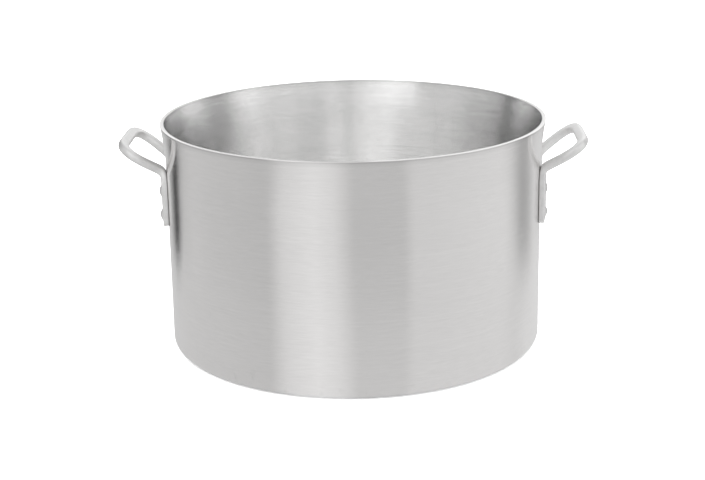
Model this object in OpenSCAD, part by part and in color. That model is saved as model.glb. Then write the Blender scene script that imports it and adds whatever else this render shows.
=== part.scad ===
// Low aluminium stock pot with two riveted loop handles.
// Millimetres. Origin at the centre of the base, +Z up, handles along X.
// The side of -Y is the front, and the side of +X is the right.

/* [Pot] */
// Outer diameter of the straight wall
pot_d = 380; // [350:2:420]
// Height from the base to the top of the rim
pot_h = 231; // [228:1:280]
// Thickness of the wall
wall_t = 4.2; // [3:0.1:6]
// Thickness of the base
base_t = 5; // [4:0.1:8]
// Outer radius of the corner between wall and base
corner_r = 8.5; // [6:0.5:16]
// Inner radius of the same corner
inner_corner_r = 12; // [8:0.5:20]

/* [Lip] */
// How far the lip flares out beyond the straight wall
flare = 4.4; // [1:0.1:5]
// Height of the flared band under the rim
flare_h = 48; // [34:1:50]
// Rounding of the rim's two edges
rim_r = 0.6; // [0.4:0.1:1.4]

/* [Handles] */
// Distance between the centre lines of a handle's two legs
leg_pitch = 64; // [58:1:76]
// Width of the flattened leg
pad_w = 24; // [20:0.5:26]
// Thickness of the flattened leg
pad_t = 6.2; // [5.5:0.1:7]
// Rounding of the leg's long edges
pad_edge_r = 1.3; // [0.8:0.1:2]
// Rounding of the two corners at the leg's lower end
end_r = 5; // [3:0.5:8]
// Thickness of the loop's rod, measured across the loop's plane
rod_t = 9; // [8.4:0.1:9.8]
// Width of the loop's rod, measured in the loop's plane
rod_w = 11; // [10:0.1:12]
// Height of the leg's lower end above the base
leg_z = 128; // [115:0.5:132]
// Height at which the leg turns outwards into the loop
bend_z = 183; // [179:0.5:188]
// How far the grip's centre line stands off the wall
reach = 39.5; // [34:0.5:46]
// How much higher the grip is than the bend
rise = 27; // [20:0.5:31]
// Width of the loop between the points where its sides would meet the grip
loop_w = 107; // [96:1:118]
// Length trimmed off each side of the loop's outer corners to round them
loop_round = 34; // [24:0.5:36]
// Length trimmed off each side of the leg's bend to round it
bend_round = 6; // [5:0.5:8]

/* [Rivets] */
// Diameter of the shank
shank_d = 6.4; // [5:0.1:7]
// Difference in diameter between the drilled hole and the shank
hole_play = 0.1; // [0.05:0.05:0.2]
// Diameter of the outer head
head_d = 10.8; // [9.6:0.1:12]
// Height of the outer head
head_h = 2.1; // [1.6:0.1:3]
// Diameter of the inner head
inner_head_d = 13; // [11:0.5:15]
// Height of the inner head
inner_head_h = 1.5; // [1:0.1:2]
// Height of the straight edge under each head's dome
head_edge = 0.5; // [0.2:0.1:0.8]
// Height of the lower rivet above the leg's lower end
rivet_up = 10.5; // [9:0.5:12]
// Distance between the upper and the lower rivet of a leg
rivet_pitch = 24.5; // [22:0.5:28]

/* [Hidden] */

$fn = 96;
// Segments of the flare's large arcs.
arc_fn = 720;
eps = 0.01;
pot_r = pot_d / 2;
inner_r = pot_r - wall_t;

// Lip: an arc that leaves the wall upright and ends `flare` further out.
flare_z = pot_h - flare_h;
flare_arc_r = (flare_h * flare_h + flare * flare) / (2 * flare);
rim_z = pot_h - rim_r;
function lip_r(arc_r, z) = pot_r + flare_arc_r - sqrt(arc_r * arc_r - pow(z - flare_z, 2));

// Legs: the flat back of each is let into the wall's curve by seat_depth.
seat_depth = 0.5;
pad_face_r = pot_r - seat_depth + pad_t;
pad_mid_r = pot_r - seat_depth + pad_t / 2;
leg_angle = asin(leg_pitch / 2 / pad_mid_r);
lower_rivet_z = leg_z + rivet_up;
rivet_levels = [lower_rivet_z, lower_rivet_z + rivet_pitch];

// Loop: corners of the rod's centre line, on the front half of a right-hand handle.
leg_out = pad_mid_r * [cos(leg_angle), -sin(leg_angle), 0];
bend = leg_out + [0, 0, bend_z];
outer_corner = [pot_r + reach, -loop_w / 2, bend_z + rise];
grip_middle = [pot_r + reach, 0, bend_z + rise];
pad_top = [leg_out.x, leg_out.y, rivet_levels[1] + head_d / 2];
side_dir = unit(outer_corner - bend);
loop_normal = unit(cross([0, 1, 0], side_dir - [0, side_dir.y, 0]));

function unit(v) = v / norm(v);
function mix(a, b, t) = a + (b - a) * t;
function smooth(t) = let (c = min(1, max(0, t))) c * c * (3 - 2 * c);

// Points along a curve that leaves p for the corner q and arrives at r.
function bend_points(p, q, r, steps) = [
    for (i = [0:steps])
        let (t = i / steps)
        pow(1 - t, 2) * p + 2 * t * (1 - t) * q + t * t * r
];

// Stations along half of the handle. Each is [point, half width, half thickness, edge rounding].
end_steps = 6;
// Share of its thickness that the leg keeps at its very end.
end_thin = 0.75;
function end_station(i) =
    let (
        angle = 90 * (i + 0.5) / end_steps,
        inset = end_r * (1 - sin(angle)),
        half_t = pad_t / 2 * mix(end_thin, 1, sin(angle))
    )
    [leg_out + [0, 0, leg_z + end_r * (1 - cos(angle))], pad_w / 2 - inset, half_t, pad_edge_r];

// The leg (share 0) becomes the rod (share 1). It narrows first and thickens from thick_start on.
thick_start = 0.23;
// Rounding of the rod's edges, as a share of half its thickness.
rod_edge = 0.8;
function rod_station(p, share) =
    let (half_t = mix(pad_t, rod_t, smooth((share - thick_start) / (1 - thick_start))) / 2)
    [p, mix(pad_w, rod_w, smooth(share)) / 2, half_t, mix(pad_edge_r, half_t * rod_edge, smooth(share))];

// Share of the change from leg to rod that is done where the bend begins.
bend_share = 0.35;
neck_steps = 4;
bend_steps = 10;
corner_steps = 14;
bend_curve = bend_points(bend - [0, 0, bend_round], bend, bend + side_dir * bend_round, bend_steps);
corner_curve = bend_points(
    outer_corner - side_dir * loop_round,
    outer_corner,
    outer_corner + [0, loop_round, 0],
    corner_steps
);
half_stations = concat(
    [for (i = [0:end_steps - 1]) end_station(i)],
    [rod_station(leg_out + [0, 0, leg_z + end_r], 0)],
    [
        for (i = [0:neck_steps])
            rod_station(mix(pad_top, bend_curve[0], i / neck_steps), bend_share * i / neck_steps)
    ],
    [for (i = [1:bend_steps]) rod_station(bend_curve[i], mix(bend_share, 1, i / bend_steps))],
    [for (p = corner_curve) rod_station(p, 1)]
);
function across(s) = [[s[0].x, -s[0].y, s[0].z], s[1], s[2], s[3]];
half_count = len(half_stations);
stations = concat(
    half_stations,
    [rod_station(grip_middle, 1)],
    [for (i = [half_count - 1:-1:0]) across(half_stations[i])]
);

// The face of the leg looks outwards; within turn_h of the bend's start it turns to the loop's normal.
turn_h = 1.5 * bend_round;
function facing(p) =
    let (
        outwards = unit([p.x, p.y, 0]),
        turned = smooth((p.z - bend_z + bend_round) / turn_h)
    )
    unit(mix(outwards, loop_normal, turned));

// A closed ring of points round one station: a rectangle with rounded edges.
arc_steps = 4;
function ring(i) =
    let (
        last = len(stations) - 1,
        s = stations[i],
        along = unit(stations[min(i + 1, last)][0] - stations[max(i - 1, 0)][0]),
        side = unit(cross(facing(s[0]), along)),
        face = cross(along, side),
        corners = [[1, 1], [-1, 1], [-1, -1], [1, -1]]
    )
    [
        for (c = [0:3], k = [0:arc_steps])
            let (angle = 90 * c + 90 * k / arc_steps)
            s[0]
                + side * (corners[c][0] * (s[1] - s[3]) + s[3] * cos(angle))
                + face * (corners[c][1] * (s[2] - s[3]) + s[3] * sin(angle))
    ];

ring_size = 4 * (arc_steps + 1);
module swept_rod() {
    count = len(stations);
    points = [for (i = [0:count - 1], p = ring(i)) p];
    sides = [
        for (i = [0:count - 2], k = [0:ring_size - 1])
            let (
                next = (k + 1) % ring_size,
                a = i * ring_size + k,
                b = i * ring_size + next,
                c = a + ring_size,
                d = b + ring_size
            )
            each [[a, b, d], [a, d, c]]
    ];
    first_cap = [for (k = [ring_size - 1:-1:0]) k];
    last_cap = [for (k = [0:ring_size - 1]) (count - 1) * ring_size + k];
    polyhedron(points, concat(sides, [first_cap, last_cap]));
}

// Places something made on the +X axis at a leg: side 1 is the rear leg, -1 the front one.
module at_leg(side) {
    rotate([0, 0, side * leg_angle])
        children();
}

module rivet_holes() {
    for (side = [-1, 1], z = rivet_levels)
        at_leg(side)
            translate([inner_r - wall_t, 0, z])
                rotate([0, 90, 0])
                    cylinder(d = shank_d + hole_play, h = 2 * wall_t + 2 * pad_t);
}

module pot_outline() {
    square([pot_r - corner_r, flare_z]);
    translate([0, corner_r])
        square([pot_r, rim_z - corner_r]);
    translate([pot_r - corner_r, corner_r])
        circle(corner_r);
    difference() {
        translate([inner_r, flare_z])
            square([wall_t + lip_r(flare_arc_r, rim_z) - pot_r, rim_z - flare_z]);
        translate([pot_r + flare_arc_r, flare_z])
            circle(flare_arc_r, $fn = arc_fn);
    }
}

module cavity_outline() {
    arc_r = flare_arc_r + wall_t;
    corner_x = inner_r - inner_corner_r;
    corner_z = base_t + inner_corner_r;
    translate([-eps, base_t])
        square([corner_x + eps, pot_h]);
    translate([-eps, corner_z])
        square([inner_r + eps, pot_h]);
    translate([corner_x, corner_z])
        circle(inner_corner_r);
    difference() {
        translate([inner_r - wall_t, flare_z])
            square([wall_t + lip_r(arc_r, pot_h) - inner_r, flare_h]);
        translate([pot_r + flare_arc_r, flare_z])
            circle(arc_r, $fn = arc_fn);
    }
}

module rim_outline() {
    inside = lip_r(flare_arc_r + wall_t, rim_z) + rim_r;
    outside = lip_r(flare_arc_r, rim_z) - rim_r;
    for (x = [inside, outside])
        translate([x, rim_z])
            circle(rim_r);
    translate([inside, rim_z - rim_r])
        square([outside - inside, 2 * rim_r]);
}

module pot_body() {
    color("gainsboro")
        difference() {
            rotate_extrude() {
                difference() {
                    pot_outline();
                    cavity_outline();
                }
                rim_outline();
            }
            for (turn = [0, 180])
                rotate([0, 0, turn])
                    rivet_holes();
        }
}

// A right-hand handle, with its back seated on the pot's wall.
module handle(turn) {
    color("silver")
        rotate([0, 0, turn])
            difference() {
                swept_rod();
                cylinder(r = pot_r, h = pot_h);
                rivet_holes();
            }
}

// Half of a low domed head on a straight edge, standing on the axis at height 0.
module head_outline(d, h) {
    dome_h = h - head_edge;
    dome_r = (d * d / 4 + dome_h * dome_h) / (2 * dome_h);
    square([d / 2, head_edge]);
    intersection() {
        translate([0, h - dome_r])
            circle(dome_r);
        translate([0, head_edge - eps])
            square([d / 2, dome_h + 2 * eps]);
    }
}

// One rivet, turned about its own axis. Its inner head touches the curved wall at two edges.
module rivet(turn, side, level) {
    inner_seat_r = sqrt(inner_r * inner_r - inner_head_d * inner_head_d / 4);
    color("whitesmoke")
        rotate([0, 0, turn])
            at_leg(side)
                translate([0, 0, rivet_levels[level]])
                    rotate([0, 90, 0])
                        rotate_extrude() {
                            translate([0, inner_seat_r - head_edge])
                                square([shank_d / 2, pad_face_r - inner_seat_r + 2 * head_edge]);
                            translate([0, pad_face_r])
                                head_outline(head_d, head_h);
                            translate([0, inner_seat_r])
                                mirror([0, 1])
                                    head_outline(inner_head_d, inner_head_h);
                        }
}

pot_body();
handle(180);  // handle_left
handle(0);  // handle_right
rivet(180, 1, 1);  // rivet_left_front_upper
rivet(180, 1, 0);  // rivet_left_front_lower
rivet(180, -1, 1);  // rivet_left_rear_upper
rivet(180, -1, 0);  // rivet_left_rear_lower
rivet(0, -1, 1);  // rivet_right_front_upper
rivet(0, -1, 0);  // rivet_right_front_lower
rivet(0, 1, 1);  // rivet_right_rear_upper
rivet(0, 1, 0);  // rivet_right_rear_lower
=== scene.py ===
import math

import bpy
from mathutils import Matrix, Vector


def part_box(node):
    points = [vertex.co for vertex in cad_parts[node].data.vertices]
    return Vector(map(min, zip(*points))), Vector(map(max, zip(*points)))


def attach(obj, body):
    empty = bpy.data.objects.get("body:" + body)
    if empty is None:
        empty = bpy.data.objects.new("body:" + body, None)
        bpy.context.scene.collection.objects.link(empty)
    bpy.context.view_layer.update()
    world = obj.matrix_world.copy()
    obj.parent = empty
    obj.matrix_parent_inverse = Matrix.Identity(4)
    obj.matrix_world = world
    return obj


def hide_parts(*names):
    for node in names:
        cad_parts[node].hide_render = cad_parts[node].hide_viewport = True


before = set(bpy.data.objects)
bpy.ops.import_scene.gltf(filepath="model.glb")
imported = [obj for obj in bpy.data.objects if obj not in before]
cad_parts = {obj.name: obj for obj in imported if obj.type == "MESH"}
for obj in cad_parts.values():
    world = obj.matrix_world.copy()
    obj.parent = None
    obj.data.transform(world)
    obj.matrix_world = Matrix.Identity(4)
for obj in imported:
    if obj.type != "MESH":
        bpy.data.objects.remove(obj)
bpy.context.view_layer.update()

# ------------------------------------------------------------------ sizes of the pot, in metres
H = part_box("pot_body")[1][2]
WALL_R = 0.190
WALL_T = 0.0042
BASE_T = 0.005
CORNER_R = 0.0085
INNER_CORNER_R = 0.012
RIM_ROUND = 0.0007
# The lip leaves the straight wall on an arc that ends this far out and this high up.
FLARE = 0.0044
FLARE_H = 0.048
FLARE_Z = H - FLARE_H
FLARE_R = (FLARE_H ** 2 + FLARE ** 2) / (2 * FLARE)
# Radii of the rings of points on the flat of the base, and how finely each stretch of the wall is cut
BASE_RINGS = (0.0, 0.05, 0.1, 0.14, 0.165)
UNDERSIDE_RING = 0.178
ROUND_STEPS, SIDE_STEPS, LIP_STEPS, RIM_STEPS = 14, 10, 22, 8
POT_SEGMENTS = 360

# ------------------------------------------------------------------ sizes of the handles
# Flat legs lie on the wall. The legs and the bar are a hair thinner than the CAD's, to stay inside it.
SEAT = 0.0005
LEG_T = 0.0062
LEG_FACE_R = WALL_R - SEAT + LEG_T
LEG_MID_R = WALL_R - SEAT + LEG_T / 2
LEG_HALF_PITCH = 0.032
LEG_ANGLE = math.asin(LEG_HALF_PITCH / LEG_MID_R)
LEG_W = 0.0238
LEG_SHOWN_T = 0.00615
LEG_EDGE_R = 0.0013
LEG_FOOT_R = 0.005
LEG_FOOT_THIN = 0.72
LEG_FOOT_EASE = 0.6
LEG_FOOT_START = 0.3
LEG_Z = 0.1281
WIDEN_Z = 0.1685
BEND_Z = 0.183
BEND_CUT = 0.006
# The bar rises outwards from the bends, and turns two rounded corners into the grip.
BAR_W = 0.0109
BAR_T = 0.0089
BAR_EDGE = 0.80
GRIP_R = WALL_R + 0.0395
GRIP_Z = BEND_Z + 0.027
LOOP_HALF = 0.0535
CORNER_CUT = 0.034
# How far the section has changed from leg to bar where the bend starts and where it ends
SHARE_AT_BEND = 0.35
SHARE_PAST_BEND = 0.80
# Thickening starts later than narrowing, at a share of THICK_LAG / (1 + THICK_LAG), and ends with it.
THICK_LAG = 0.3
# Height over which the section's face turns from the wall's direction to the loop's.
TURN_H = 1.5 * BEND_CUT
# The backs of the legs are pressed to the wall's curve, and stand this far off it.
WALL_GAP = 0.00003
FOOT_STEPS, LEG_STEPS, BEND_STEPS, ARM_STEPS, CORNER_STEPS, GRIP_STEPS, EDGE_STEPS = 10, 6, 14, 7, 30, 5, 6

# ------------------------------------------------------------------ sizes of the rivets
HEAD_R, HEAD_H = 0.0054, 0.0021
INNER_HEAD_R, INNER_HEAD_H = 0.0065, 0.0015
HEAD_EDGE = 0.0005
HEAD_FOOT = 0.00012
HEAD_SUNK = 0.00006
HEAD_TAPER = 0.985
DOME_STEPS = 10
RIVET_SEGMENTS = 48
SHANK_R = 0.0032
INNER_SEAT = math.sqrt((WALL_R - WALL_T) ** 2 - INNER_HEAD_R ** 2)

# ------------------------------------------------------------------ looks of the metal
# Turned lines: how many a metre, and how far each tips the surface up or down, outside and inside
LINES = 60000.0
LINE_TIP = 0.55
LINE_TIP_IN = 1.6
POT_ROUGH = 0.10
OUTER_DARK, OUTER_LIGHT = (0.840, 0.828, 0.822), (0.932, 0.920, 0.914)
INNER_DARK, INNER_LIGHT = (0.762, 0.760, 0.757), (0.984, 0.982, 0.979)
# The border between inside and outside, in the straight wall, and how fast it bends out in the flare
INSIDE_R, INSIDE_BEND = 0.188, 1.91
# Scuffs thin out over SCUFF_END / SCUFF_SCALE metres from the base. Above that only the least are left.
SCUFFED = (0.80, 0.79, 0.78)
SCUFF_SCALE, SCUFF_END = 20.0, 0.55
SCUFF_EXTRA, SCUFF_LEAST = 0.7, 0.16
# Painted shade on the rim, which darkens its top. Its stops are heights above a level RIM_DEPTH below the
# top. A ramp has only
# 256 steps, which blurs stops this close, so the painted shade comes in over 6 mm, to about two thirds.
RIM_PAINTED_SHADE = (0.47, 0.466, 0.462)
RIM_DEPTH = 0.01
RIM_STOPS = [(0.0075, 0.0), (0.0092, 1.0)]
CAST_TINT = (0.97, 0.967, 0.962)
RIVET_TINT = (0.90, 0.895, 0.89)
POLISHED = (0.96, 0.955, 0.95)
# Painted shade: a grey laid on the handles in the narrow corner where a leg meets the wall, out to these
# distances from the axis.
CREVICE_SHADE = (0.52, 0.515, 0.51)
CREVICE_SHADE_FROM, CREVICE_SHADE_TO = WALL_R + 0.0003, WALL_R + 0.0010

# ------------------------------------------------------------------ light tent
TENT_R = 0.95
TENT_LOW, TENT_SHOULDER, TENT_TOP = -0.6, 1.3, 1.6
TENT_TOP_R = 0.7
TABLE_R = 0.45
TABLE_Z = -0.001
TABLE_MARGIN = 0.002
TENT_SEGMENTS = 180
# Each band is an angle round the pot, with 0 on the camera's side and more towards +X, and its glow.
TABLE_BANDS = [
    (-180, 0.66), (-100, 0.61), (-46, 0.57), (-36, 0.73), (-18, 0.83), (-6, 0.76), (4, 0.62), (28, 0.62),
    (34, 0.68), (96, 0.72), (112, 0.68), (132, 0.74), (180, 0.74),
]
LOW_BANDS = [
    (-180, 0.46), (-164, 0.50), (-152, 0.66), (-140, 0.54), (-133, 0.33), (-128, 0.03), (-124.5, 0.03),
    (-117, 0.56), (-102, 0.61), (-83, 0.57), (-46, 0.52), (-38, 0.70), (-20, 0.80), (-9, 0.73), (1, 0.54),
    (28, 0.54), (34, 0.66), (96, 0.74), (103, 0.65), (113, 0.40), (121, 0.44), (132, 0.68), (152, 0.68),
    (164, 0.52),
]
HIGH_BANDS = [
    (-180, 0.48), (-173, 0.50), (-164, 0.70), (-152, 0.82), (-142, 0.60), (-134, 0.24), (-126, 0.08),
    (-118, 0.25), (-102, 0.34), (-79, 0.39), (-66, 0.32), (-50, 0.30), (-44, 0.67), (-33, 0.76),
    (-24, 0.65), (-16, 0.53), (-7, 0.43), (0, 0.37), (6, 0.31), (12, 0.31), (20, 0.38), (28, 0.41),
    (54, 0.41), (62, 0.43), (70, 0.50), (79, 0.65), (88, 0.69), (104, 0.22), (114, 0.22), (124, 0.56),
    (136, 0.90), (166, 0.74),
]
# Heights between which the low bands give way to the high ones, and the high ones gain strength
LIFT_FROM, LIFT_TO = 0.12, 0.55
GAIN_FROM, GAIN_TO = 0.3, 1.0
HIGH_GAIN, UPPER_GAIN = 1.82, 2.28
TOP_FROM, TOP_TO = 1.25, 1.5
TOP_GLOW = (1.0, 1.0, 1.0)
# The bands on the table fan out by FAN_WIDTH r / (FAN_SLOPE r - FAN_START) at the radius r.
FAN_WIDTH, FAN_SLOPE, FAN_START = 1.9, 2.12, 0.213

# ------------------------------------------------------------------ floor and world
FLOOR_HALF = 12
FLOOR_Z = -0.0002
WORLD_GLOW = 3.0

# ------------------------------------------------------------------ camera: lens in millimetres
LENS = 78.785
DISTANCE = 1.5936
RAISED = math.radians(16.27)
YAW = math.radians(1.62)
ROLL, PAN, TILT = -0.0160, -0.0014, -0.0093


# ------------------------------------------------------------------ geometry helpers
def smooth_step(t):
    t = min(1.0, max(0.0, t))
    return t * t * (3 - 2 * t)


def mesh_object(name, verts, faces, material, smooth=True):
    mesh = bpy.data.meshes.new(name)
    mesh.from_pydata([tuple(v) for v in verts], [], faces)
    mesh.validate()
    mesh.update()
    if smooth:
        mesh.polygons.foreach_set("use_smooth", [True] * len(mesh.polygons))
    mesh.materials.append(material)
    obj = bpy.data.objects.new(name, mesh)
    bpy.context.scene.collection.objects.link(obj)
    return obj


def lathe(name, profile, material, segments):
    """Turns a half profile of (r, z) about Z. Points on the axis become single vertices."""
    verts, rows = [], []
    for r, z in profile:
        if r < 1e-7:
            rows.append([len(verts)] * segments)
            verts.append((0.0, 0.0, z))
        else:
            rows.append([len(verts) + k for k in range(segments)])
            turns = [2 * math.pi * k / segments for k in range(segments)]
            verts += [(r * math.cos(a), r * math.sin(a), z) for a in turns]
    faces = []
    for low, high in zip(rows, rows[1:]):
        for k in range(segments):
            n = (k + 1) % segments
            face = tuple(dict.fromkeys((low[k], low[n], high[n], high[k])))
            if len(face) > 2:
                faces.append(face)
    return mesh_object(name, verts, faces, material)


def arc(cx, cz, r, start, end, steps):
    angles = [math.radians(start + (end - start) * i / steps) for i in range(steps + 1)]
    return [(cx + r * math.cos(a), cz + r * math.sin(a)) for a in angles]


def shares(steps):
    """Even shares from 0 to 1."""
    return [i / steps for i in range(steps + 1)]


def bezier(p, q, r, steps):
    return [(1 - t) ** 2 * p + 2 * t * (1 - t) * q + t * t * r for t in shares(steps)]


# ------------------------------------------------------------------ material helpers
class Nodes:
    """A small helper that adds nodes and links to one material."""

    def __init__(self, name):
        self.material = bpy.data.materials.new(name)
        self.material.use_nodes = True
        self.tree = self.material.node_tree
        self.tree.nodes.clear()
        self.out = self.tree.nodes.new("ShaderNodeOutputMaterial")

    def add(self, kind, inputs=None, **settings):
        node = self.tree.nodes.new(kind)
        for key, value in settings.items():
            setattr(node, key, value)
        for key, value in (inputs or {}).items():
            if isinstance(value, bpy.types.NodeSocket):
                self.tree.links.new(value, node.inputs[key])
            else:
                node.inputs[key].default_value = value
        return node

    def finish(self, kind, inputs):
        shader = self.add(kind, inputs)
        self.tree.links.new(shader.outputs[0], self.out.inputs[0])
        return self.material

    def math(self, operation, a, b=0.0):
        return self.add("ShaderNodeMath", {0: a, 1: b}, operation=operation).outputs[0]

    def weighted(self, *terms):
        """Sum of sockets, each times its weight."""
        total = None
        for socket, weight in terms:
            term = self.math("MULTIPLY", socket, weight)
            total = term if total is None else self.math("ADD", total, term)
        return total

    def vector(self, operation, a, b=None):
        inputs = {0: a} if b is None else {0: a, 1: b}
        return self.add("ShaderNodeVectorMath", inputs, operation=operation).outputs[0]

    def scale(self, vector, factor):
        return self.add("ShaderNodeVectorMath", {0: vector, "Scale": factor}, operation="SCALE").outputs[0]

    def split(self, vector):
        return self.add("ShaderNodeSeparateXYZ", {0: vector}).outputs

    def join(self, x, y, z=0.0):
        return self.add("ShaderNodeCombineXYZ", {0: x, 1: y, 2: z}).outputs[0]

    def place(self):
        """The object's coordinates, their parts, their flat vector from the axis and its length."""
        coords = self.add("ShaderNodeTexCoord").outputs["Object"]
        xyz = self.split(coords)
        flat = self.join(xyz[0], xyz[1])
        radius = self.add("ShaderNodeVectorMath", {0: flat}, operation="LENGTH").outputs["Value"]
        return coords, xyz, flat, radius

    def ramp(self, value, stops):
        node = self.add("ShaderNodeValToRGB", {0: value})
        elements = node.color_ramp.elements
        while len(elements) < len(stops):
            elements.new(0.5)
        for element, (position, level) in zip(elements, stops):
            element.position = position
            element.color = (level, level, level, 1) if isinstance(level, (int, float)) else (*level, 1)
        return node.outputs[0]

    def bands(self, turn, table):
        """Glow of a table of (angle, glow) at a turn of 0 to 1, which stands for -180 to 180 degrees."""
        return self.ramp(turn, [((angle + 180) / 360, glow) for angle, glow in table])

    def mix(self, share, first, second):
        first, second = [(*c, 1) if isinstance(c, tuple) else c for c in (first, second)]
        return self.add("ShaderNodeMix", {0: share, 6: first, 7: second}, data_type="RGBA").outputs[2]

    def span(self, value, start, end, first=0.0, last=1.0):
        """Goes from first to last as the value goes from start to end."""
        inputs = {0: value, 1: start, 2: end, 3: first, 4: last}
        return self.add("ShaderNodeMapRange", inputs).outputs[0]

    def noise(self, vector, scale, detail, roughness):
        inputs = {"Vector": vector, "Scale": scale, "Detail": detail, "Roughness": roughness}
        return self.add("ShaderNodeTexNoise", inputs).outputs[0]

    def noise_along(self, value, scale, detail, roughness):
        inputs = {"W": value, "Scale": scale, "Detail": detail, "Roughness": roughness}
        return self.add("ShaderNodeTexNoise", inputs, noise_dimensions="1D").outputs[0]

    def bump(self, strength, distance, height, normal=None):
        inputs = {"Strength": strength, "Distance": distance, "Height": height}
        if normal is not None:
            inputs["Normal"] = normal
        return self.add("ShaderNodeBump", inputs).outputs[0]


# ------------------------------------------------------------------ materials
def pot_material():
    """Aluminium turned on a lathe: fine lines run round the pot and spread highlights up and down."""
    n = Nodes("turned_aluminium")
    coords, xyz, flat, radius = n.place()
    ring = n.split(n.vector("NORMALIZE", flat))
    across = n.math("ADD", xyz[2], radius)

    def turned(turns, lines):
        x, y = n.math("MULTIPLY", ring[0], turns), n.math("MULTIPLY", ring[1], turns)
        return n.join(x, y, n.math("MULTIPLY", across, lines))

    rings = n.noise_along(across, LINES, 0.0, 0.5)
    grooves = n.noise_along(across, 300.0, 3.0, 0.7)
    streaks = n.noise(turned(16.0, 1500.0), 1.0, 2.0, 0.6)
    broad = n.noise(turned(1.3, 70.0), 1.0, 2.0, 0.5)
    cloud = n.noise(coords, 14.0, 4.0, 0.55)

    # Scuffs lie mostly low on the pot.
    scuff = n.noise(n.vector("MULTIPLY", coords, (90.0, 90.0, 55.0)), 1.0, 5.0, 0.7)
    scuff = n.ramp(scuff, [(0.60, 0.0), (0.72, 1.0)])
    low = n.ramp(n.math("MULTIPLY", xyz[2], SCUFF_SCALE), [(0.0, 1.0), (SCUFF_END, 0.0)])
    wear = n.math("MULTIPLY", scuff, n.math("ADD", n.math("MULTIPLY", low, SCUFF_EXTRA), SCUFF_LEAST))

    # The middle of the wall's thickness, which follows the flare, parts the inside from the outside.
    lip = n.math("MAXIMUM", n.math("SUBTRACT", xyz[2], FLARE_Z), 0.0)
    lip = n.math("MULTIPLY", n.math("POWER", lip, 2.0), INSIDE_BEND)
    inside = n.math("LESS_THAN", radius, n.math("ADD", lip, INSIDE_R))

    tone = n.weighted((streaks, 0.19), (grooves, 0.05), (broad, 0.05), (cloud, 0.06))
    outer = n.ramp(tone, [(0.09, OUTER_DARK), (0.25, OUTER_LIGHT)])
    inner = n.ramp(tone, [(0.09, INNER_DARK), (0.25, INNER_LIGHT)])
    worn = n.mix(wear, n.mix(inside, outer, inner), SCUFFED)
    # Painted shade darkens the top of the rim.
    rim = n.ramp(n.math("SUBTRACT", xyz[2], H - RIM_DEPTH), RIM_STOPS)
    colour = n.mix(rim, worn, RIM_PAINTED_SHADE)
    rough = n.math("ADD", n.weighted((streaks, 0.04), (cloud, 0.04), (wear, 0.10)), POT_ROUGH)

    # Each turned line tips the surface up or down a little, which spreads reflections along the axis only.
    amount = n.math("ADD", n.math("MULTIPLY", inside, LINE_TIP_IN - LINE_TIP), LINE_TIP)
    tip = n.math("MULTIPLY", n.math("SUBTRACT", rings, 0.5), amount)
    normal = n.add("ShaderNodeNewGeometry").outputs["Normal"]
    sideways = n.join(n.math("MULTIPLY", ring[1], -1.0), ring[0])
    upwards = n.vector("CROSS_PRODUCT", sideways, normal)
    tipped = n.vector("NORMALIZE", n.vector("ADD", normal, n.scale(upwards, tip)))
    waves = n.math("MULTIPLY", cloud, n.math("SUBTRACT", 1.0, n.math("MULTIPLY", inside, 0.7)))
    bump = n.bump(0.12, 0.0002, waves, n.bump(0.3, 0.00005, streaks, tipped))
    tangent = n.add("ShaderNodeTangent", direction_type="RADIAL", axis="Z").outputs[0]
    return n.finish("ShaderNodeBsdfPrincipled", {
        "Base Color": colour, "Metallic": 1.0, "Roughness": rough, "Normal": bump, "Tangent": tangent,
        "Anisotropic": 1.0, "Anisotropic Rotation": 0.25,
    })


def cast_material(name, tint, rough_base, grain, dents):
    """Satin aluminium with a fine grain, polished a little on its raised edges."""
    n = Nodes(name)
    coords, _, _, radius = n.place()
    grainy = n.noise(coords, grain, 3.0, 0.6)
    cloud = n.noise(coords, dents, 3.0, 0.5)
    strokes = n.noise(n.vector("MULTIPLY", coords, (900.0, 160.0, 900.0)), 1.0, 2.0, 0.6)
    surface = n.add("ShaderNodeNewGeometry").outputs
    edge = n.ramp(surface["Pointiness"], [(0.50, 0.0), (0.56, 1.0)])

    dark = tuple(0.90 * c for c in tint)
    tone = n.weighted((grainy, 0.3), (cloud, 0.7))
    colour = n.ramp(tone, [(0.35, dark), (0.65, tint)])
    colour = n.mix(n.math("MULTIPLY", edge, 0.5), colour, POLISHED)
    # Painted shade: faces that look up are darkened, and a grey painted shade lies in the narrow corner
    # where a leg meets the wall.
    colour = n.scale(colour, n.span(n.split(surface["Normal"])[2], 0.15, 0.80, 1.0, 0.70))
    colour = n.mix(n.span(radius, CREVICE_SHADE_FROM, CREVICE_SHADE_TO), CREVICE_SHADE, colour)

    rough = n.math("ADD", n.weighted((grainy, 0.10), (cloud, 0.10)), rough_base)
    rough = n.math("SUBTRACT", rough, n.math("MULTIPLY", edge, 0.06))
    bump = n.bump(0.20, 0.0002, n.weighted((grainy, 0.6), (strokes, 0.4)))
    bump = n.bump(0.25, 0.0012, cloud, bump)
    return n.finish("ShaderNodeBsdfPrincipled", {
        "Base Color": colour, "Metallic": 1.0, "Roughness": rough, "Normal": bump,
    })


def floor_material():
    n = Nodes("white_sweep")
    coords = n.add("ShaderNodeTexCoord").outputs["Object"]
    colour = n.ramp(n.noise(coords, 3.0, 2.0, 0.5), [(0.3, 0.90), (0.7, 0.92)])
    return n.finish("ShaderNodeBsdfPrincipled", {
        "Base Color": colour, "Roughness": 0.85, "Specular IOR Level": 0.1,
    })


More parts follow.
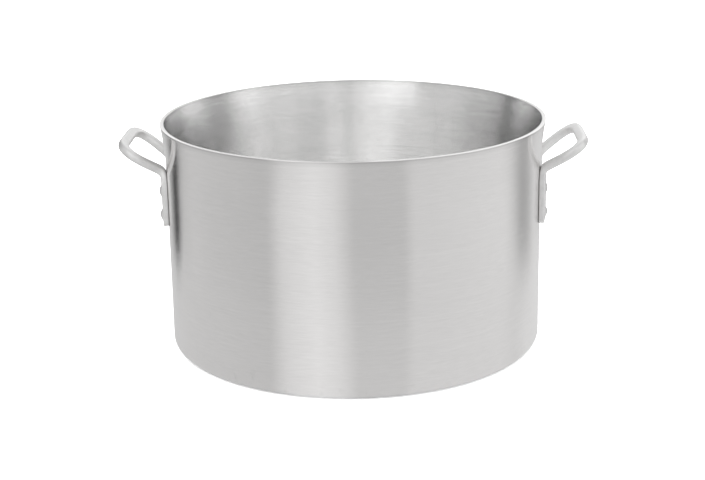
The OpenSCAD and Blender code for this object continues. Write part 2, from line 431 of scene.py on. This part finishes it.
def tent_material():
    """A light tent round a white table. Its glow changes with the direction round the pot and the height."""
    n = Nodes("light_tent")
    _, xyz, _, radius = n.place()
    # 0 and 1 lie behind the pot (+Y), 0.5 is the side of the camera (-Y), and more is towards +X.
    turn = n.math("ARCTAN2", xyz[0], n.math("MULTIPLY", xyz[1], -1.0))
    turn = n.math("ADD", n.math("DIVIDE", turn, 2 * math.pi), 0.5)
    high = n.scale(n.bands(turn, HIGH_BANDS), n.span(xyz[2], GAIN_FROM, GAIN_TO, HIGH_GAIN, UPPER_GAIN))
    glow = n.mix(n.span(xyz[2], LIFT_FROM, LIFT_TO), n.bands(turn, LOW_BANDS), high)
    glow = n.mix(n.span(xyz[2], TOP_FROM, TOP_TO), glow, TOP_GLOW)

    # On the table the bands run outwards along the lines that the wall reflects them from.
    within = n.math("LESS_THAN", radius, TABLE_R + TABLE_MARGIN)
    on_table = n.math("MULTIPLY", within, n.math("LESS_THAN", xyz[2], TABLE_Z + TABLE_MARGIN))
    slope = n.math("SUBTRACT", n.math("MULTIPLY", radius, FAN_SLOPE), FAN_START)
    spread = n.math("DIVIDE", n.math("MULTIPLY", radius, FAN_WIDTH), slope)
    fanned = n.math("ADD", n.math("MULTIPLY", n.math("SUBTRACT", turn, 0.5), spread), 0.5)
    glow = n.mix(on_table, glow, n.bands(fanned, TABLE_BANDS))
    return n.finish("ShaderNodeEmission", {"Color": glow, "Strength": 1.0})


pot_metal = pot_material()
handle_metal = cast_material("cast_aluminium", CAST_TINT, 0.44, 900.0, 160.0)
rivet_metal = cast_material("pressed_aluminium", RIVET_TINT, 0.26, 1400.0, 420.0)


# ------------------------------------------------------------------ pot
def lip_radius(arc_r, z):
    return WALL_R + FLARE_R - math.sqrt(arc_r ** 2 - (z - FLARE_Z) ** 2)


def lip_side(arc_r, start, end):
    heights = [start + (end - start) * i / LIP_STEPS for i in range(LIP_STEPS + 1)]
    return [(lip_radius(arc_r, z), z) for z in heights]


def straight_side(r, start, end):
    return [(r, start + (end - start) * i / SIDE_STEPS) for i in range(1, SIDE_STEPS)]


def pot_profile():
    """From the middle of the underside, up the outside, over the rim and down to the middle inside."""
    inner = WALL_R - WALL_T
    inner_low = BASE_T + INNER_CORNER_R
    rim_z = H - RIM_ROUND
    outer_lip = lip_side(FLARE_R, FLARE_Z, rim_z)
    inner_lip = lip_side(FLARE_R + WALL_T, rim_z, FLARE_Z)
    points = [(r, 0.0) for r in (*BASE_RINGS, UNDERSIDE_RING)]
    points += arc(WALL_R - CORNER_R, CORNER_R, CORNER_R, -90, 0, ROUND_STEPS)
    points += straight_side(WALL_R, CORNER_R, FLARE_Z)
    points += outer_lip
    points += arc(outer_lip[-1][0] - RIM_ROUND, rim_z, RIM_ROUND, 0, 90, RIM_STEPS)[1:]
    points += arc(inner_lip[0][0] + RIM_ROUND, rim_z, RIM_ROUND, 90, 180, RIM_STEPS)
    points += inner_lip[1:]
    points += straight_side(inner, FLARE_Z, inner_low)
    points += arc(inner - INNER_CORNER_R, inner_low, INNER_CORNER_R, 0, -90, ROUND_STEPS)
    points += [(r, BASE_T) for r in reversed(BASE_RINGS)]
    return points


pot = lathe("pot_shell", pot_profile(), pot_metal, POT_SEGMENTS)
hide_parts("pot_body")
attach(pot, "root")


# ------------------------------------------------------------------ handles
def section(p, share):
    """Middle, half width, half thickness and edge rounding, from leg (share 0) to bar (share 1)."""
    blend = smooth_step(share)
    half_t = (LEG_SHOWN_T + (BAR_T - LEG_SHOWN_T) * smooth_step(share * (1 + THICK_LAG) - THICK_LAG)) / 2
    half_w = (LEG_W + (BAR_W - LEG_W) * blend) / 2
    return p, half_w, half_t, LEG_EDGE_R + (half_t * BAR_EDGE - LEG_EDGE_R) * blend


def foot_sections(foot):
    """The leg's lower end, with rounded corners and a thinned edge."""
    sections = []
    for i in range(FOOT_STEPS):
        a = math.radians(90 * (i + LEG_FOOT_START) / FOOT_STEPS)
        sections.append((
            foot + Vector((0, 0, LEG_Z + LEG_FOOT_R * (1 - math.cos(a)))),
            LEG_W / 2 - LEG_FOOT_R * (1 - math.sin(a)),
            LEG_SHOWN_T / 2 * (LEG_FOOT_THIN + (1 - LEG_FOOT_THIN) * math.sin(a) ** LEG_FOOT_EASE),
            LEG_EDGE_R,
        ))
    return sections


def half_handle():
    """Sections from the lower end of the front leg of the right handle to the middle of the grip."""
    foot = Vector((LEG_MID_R * math.cos(LEG_ANGLE), -LEG_MID_R * math.sin(LEG_ANGLE), 0))
    bend = foot + Vector((0, 0, BEND_Z))
    corner = Vector((GRIP_R, -LOOP_HALF, GRIP_Z))
    middle = Vector((GRIP_R, 0, GRIP_Z))
    side = (corner - bend).normalized()
    start = foot + Vector((0, 0, LEG_Z + LEG_FOOT_R))
    top = foot + Vector((0, 0, WIDEN_Z))
    curve = bezier(bend - Vector((0, 0, BEND_CUT)), bend, bend + side * BEND_CUT, BEND_STEPS)
    rounded = bezier(corner - side * CORNER_CUT, corner, corner + Vector((0, CORNER_CUT, 0)), CORNER_STEPS)
    in_bend, past_bend = SHARE_PAST_BEND - SHARE_AT_BEND, 1 - SHARE_PAST_BEND
    sections = foot_sections(foot)
    sections += [section(start.lerp(top, t), 0) for t in shares(LEG_STEPS)[:-1]]
    sections += [section(top.lerp(curve[0], t), SHARE_AT_BEND * t) for t in shares(LEG_STEPS)]
    sections += [section(p, SHARE_AT_BEND + in_bend * t) for p, t in zip(curve[1:], shares(BEND_STEPS)[1:])]
    arm = shares(ARM_STEPS)[1:-1]
    sections += [section(curve[-1].lerp(rounded[0], t), SHARE_PAST_BEND + past_bend * t) for t in arm]
    sections += [section(p, 1.0) for p in rounded]
    sections += [section(rounded[-1].lerp(middle, t), 1.0) for t in shares(GRIP_STEPS)[1:]]
    normal = Vector((0, 1, 0)).cross(Vector((side.x, 0, side.z))).normalized()
    return sections, normal


def outline(half_w, half_t, edge_r):
    """A rectangle with round corners, as (sideways, outwards) offsets from its middle."""
    offsets = []
    for quarter, (su, sv) in enumerate(((1, 1), (-1, 1), (-1, -1), (1, -1))):
        for t in shares(EDGE_STEPS):
            a = math.radians(90 * (quarter + t))
            u = su * (half_w - edge_r) + edge_r * math.cos(a)
            v = sv * (half_t - edge_r) + edge_r * math.sin(a)
            offsets.append((u, v))
    return offsets


def pressed_to_wall(point):
    """Moves a point that lies inside the straight wall out to its surface."""
    reach = math.hypot(point.x, point.y)
    seat = WALL_R + WALL_GAP
    if reach < seat and point.z < FLARE_Z:
        point.x *= seat / reach
        point.y *= seat / reach
    return point


def handle(name, node, turn):
    half, loop_normal = half_handle()
    sections = half + [(Vector((p.x, -p.y, p.z)), w, t, r) for p, w, t, r in reversed(half[:-1])]
    last = len(sections) - 1
    verts = []
    for i, (p, half_w, half_t, edge_r) in enumerate(sections):
        along = (sections[min(i + 1, last)][0] - sections[max(i - 1, 0)][0]).normalized()
        outwards = Vector((p.x, p.y, 0)).normalized()
        turned = smooth_step((p.z - BEND_Z + BEND_CUT) / TURN_H)
        facing = outwards.lerp(loop_normal, turned).normalized()
        side = facing.cross(along).normalized()
        face = along.cross(side)
        verts += [pressed_to_wall(p + side * u + face * v) for u, v in outline(half_w, half_t, edge_r)]
    around = len(verts) // len(sections)
    faces = []
    for i in range(last):
        for k in range(around):
            a, b = i * around + k, i * around + (k + 1) % around
            faces.append((a, b, b + around, a + around))
    faces.append(tuple(range(around - 1, -1, -1)))
    faces.append(tuple(last * around + k for k in range(around)))
    spin = Matrix.Rotation(turn, 4, "Z")
    obj = mesh_object(name, [spin @ v for v in verts], faces, handle_metal)
    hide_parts(node)
    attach(obj, "root")


handle("loop_handle_right", "handle_right", 0.0)
handle("loop_handle_left", "handle_left", math.pi)


# ------------------------------------------------------------------ rivets
def head(base, radius, height, outwards):
    """A shallow dome on a short edge, from its foot to its middle. Outwards is 1 or -1."""
    ball = (radius ** 2 + (height - HEAD_EDGE) ** 2) / (2 * (height - HEAD_EDGE))
    top = math.asin(radius / ball)
    points = [(radius * HEAD_TAPER, base), (radius, base + outwards * HEAD_FOOT)]
    for t in shares(DOME_STEPS):
        a = top * (1 - t)
        points.append((ball * math.sin(a), base + outwards * (height - ball + ball * math.cos(a))))
    return points


def rivet_profile():
    """Along the rivet's axis: inner head, shank, outer head."""
    inner = head(INNER_SEAT, INNER_HEAD_R, INNER_HEAD_H, -1)
    outer = head(LEG_FACE_R - HEAD_SUNK, HEAD_R, HEAD_H, 1)
    return inner[::-1] + [(SHANK_R, INNER_SEAT), (SHANK_R, LEG_FACE_R)] + outer


def rivet(name, node, turn):
    lo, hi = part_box(node)
    z = (lo[2] + hi[2]) / 2
    obj = lathe(name, rivet_profile(), rivet_metal, RIVET_SEGMENTS)
    lying = Matrix.Rotation(math.pi / 2, 4, "Y")
    obj.data.transform(Matrix.Translation((0, 0, z)) @ Matrix.Rotation(turn, 4, "Z") @ lying)
    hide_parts(node)
    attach(obj, "root")


for hand, base_turn in (("right", 0.0), ("left", math.pi)):
    for place, sign in (("front", -1), ("rear", 1)):
        sense = sign if hand == "right" else -sign
        for level in ("upper", "lower"):
            key = f"{hand}_{place}_{level}"
            rivet(f"rivet_head_{key}", f"rivet_{key}", base_turn + sense * LEG_ANGLE)

# ------------------------------------------------------------------ stage
corners = [(FLOOR_HALF * x, FLOOR_HALF * y, 0) for x, y in ((-1, -1), (1, -1), (1, 1), (-1, 1))]
floor = mesh_object("floor", corners, [(0, 1, 2, 3)], floor_material(), False)
floor.location.z = FLOOR_Z
floor.visible_glossy = False

tent_profile = [
    (0.0, TABLE_Z), (TABLE_R, TABLE_Z), (TABLE_R, TENT_LOW), (TENT_R, TENT_LOW),
    (TENT_R, TENT_SHOULDER), (TENT_TOP_R, TENT_TOP), (0.0, TENT_TOP),
]
tent = lathe("light_tent", tent_profile, tent_material(), TENT_SEGMENTS)
for ray in ("camera", "diffuse", "shadow", "transmission", "volume_scatter"):
    setattr(tent, f"visible_{ray}", False)

world = bpy.data.worlds.new("studio")
bpy.context.scene.world = world
world.use_nodes = True
background = world.node_tree.nodes["Background"]
background.inputs[0].default_value = (1.0, 1.0, 1.0, 1)
background.inputs[1].default_value = WORLD_GLOW

bpy.context.scene.view_settings.view_transform = "Standard"
bpy.context.scene.view_settings.look = "None"


# ------------------------------------------------------------------ camera
def camera_matrix():
    """Looks at the pot from the front and above, then aims a little aside and rolls a little."""
    spin = Matrix.Rotation(YAW, 3, "Z")
    place = spin @ Vector((0, -DISTANCE * math.cos(RAISED), H / 2 + DISTANCE * math.sin(RAISED)))
    forward = spin @ Vector((0, math.cos(RAISED), -math.sin(RAISED)))
    right = spin @ Vector((1, 0, 0))
    up = right.cross(forward)
    forward = (forward * math.cos(TILT) + up * math.sin(TILT)).normalized()
    up = right.cross(forward)
    forward = (forward * math.cos(PAN) + right * math.sin(PAN)).normalized()
    right = forward.cross(up).normalized()
    up = right.cross(forward)
    right, up = right * math.cos(ROLL) + up * math.sin(ROLL), up * math.cos(ROLL) - right * math.sin(ROLL)
    return Matrix((
        (right.x, up.x, -forward.x, place.x),
        (right.y, up.y, -forward.y, place.y),
        (right.z, up.z, -forward.z, place.z),
        (0, 0, 0, 1),
    ))


camera_data = bpy.data.cameras.new("camera")
camera_data.sensor_width = 36.0
camera_data.lens = LENS
camera = bpy.data.objects.new("camera", camera_data)
camera.matrix_world = camera_matrix()
bpy.context.scene.collection.objects.link(camera)
bpy.context.scene.camera = camera
